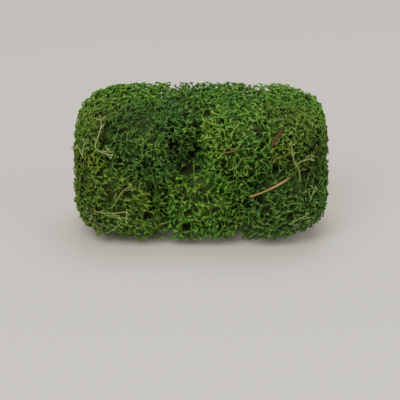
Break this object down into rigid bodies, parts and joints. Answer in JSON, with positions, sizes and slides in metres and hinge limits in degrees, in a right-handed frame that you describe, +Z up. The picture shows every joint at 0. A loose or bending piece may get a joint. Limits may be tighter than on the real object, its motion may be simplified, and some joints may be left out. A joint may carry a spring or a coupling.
{
  "type": "reindeer moss clump",
  "caption": "Pressed clump of green dyed reindeer moss for crafts: rounded tufts of forked lichen stems grown side by side, with dry needles and bark caught in them.",
  "frame": {"origin": "middle of the flat spot under the lower middle tuft, which the clump rests on", "axes": "+Z up, +X along the clump's length, -Y towards the side that the picture shows"},
  "size_m": [0.1215, 0.0627, 0.0668],
  "materials": {
    "moss_bright": "matt dyed lichen, bright green",
    "moss_yellow": "matt dyed lichen, yellowish green",
    "moss_deep": "matt dyed lichen, deep bluish green",
    "dry_needle": "dry pine needle, tan with a weak sheen",
    "brown_needle": "dry needle, reddish brown",
    "bark": "dry dark brown bark"
  },
  "bodies": {
    "root": {"tuft_centre_low": "moss_bright", "tuft_left_low": "moss_yellow", "tuft_right_low": "moss_deep", "tuft_left_mid": "moss_deep", "tuft_centre_mid": "moss_bright", "tuft_right_mid": "moss_yellow", "tuft_left_top": "moss_yellow", "tuft_centre_top": "moss_bright", "tuft_middle_top": "moss_deep", "tuft_right_top": "moss_bright", "tuft_back_left_low": "moss_deep", "tuft_back_centre": "moss_bright", "tuft_back_right_low": "moss_bright", "tuft_back_left_top": "moss_bright", "tuft_back_centre_top": "moss_deep", "dry_needle": "dry_needle", "brown_needle": "brown_needle", "bark_scrap": "bark"}
  },
  "joints": []
}
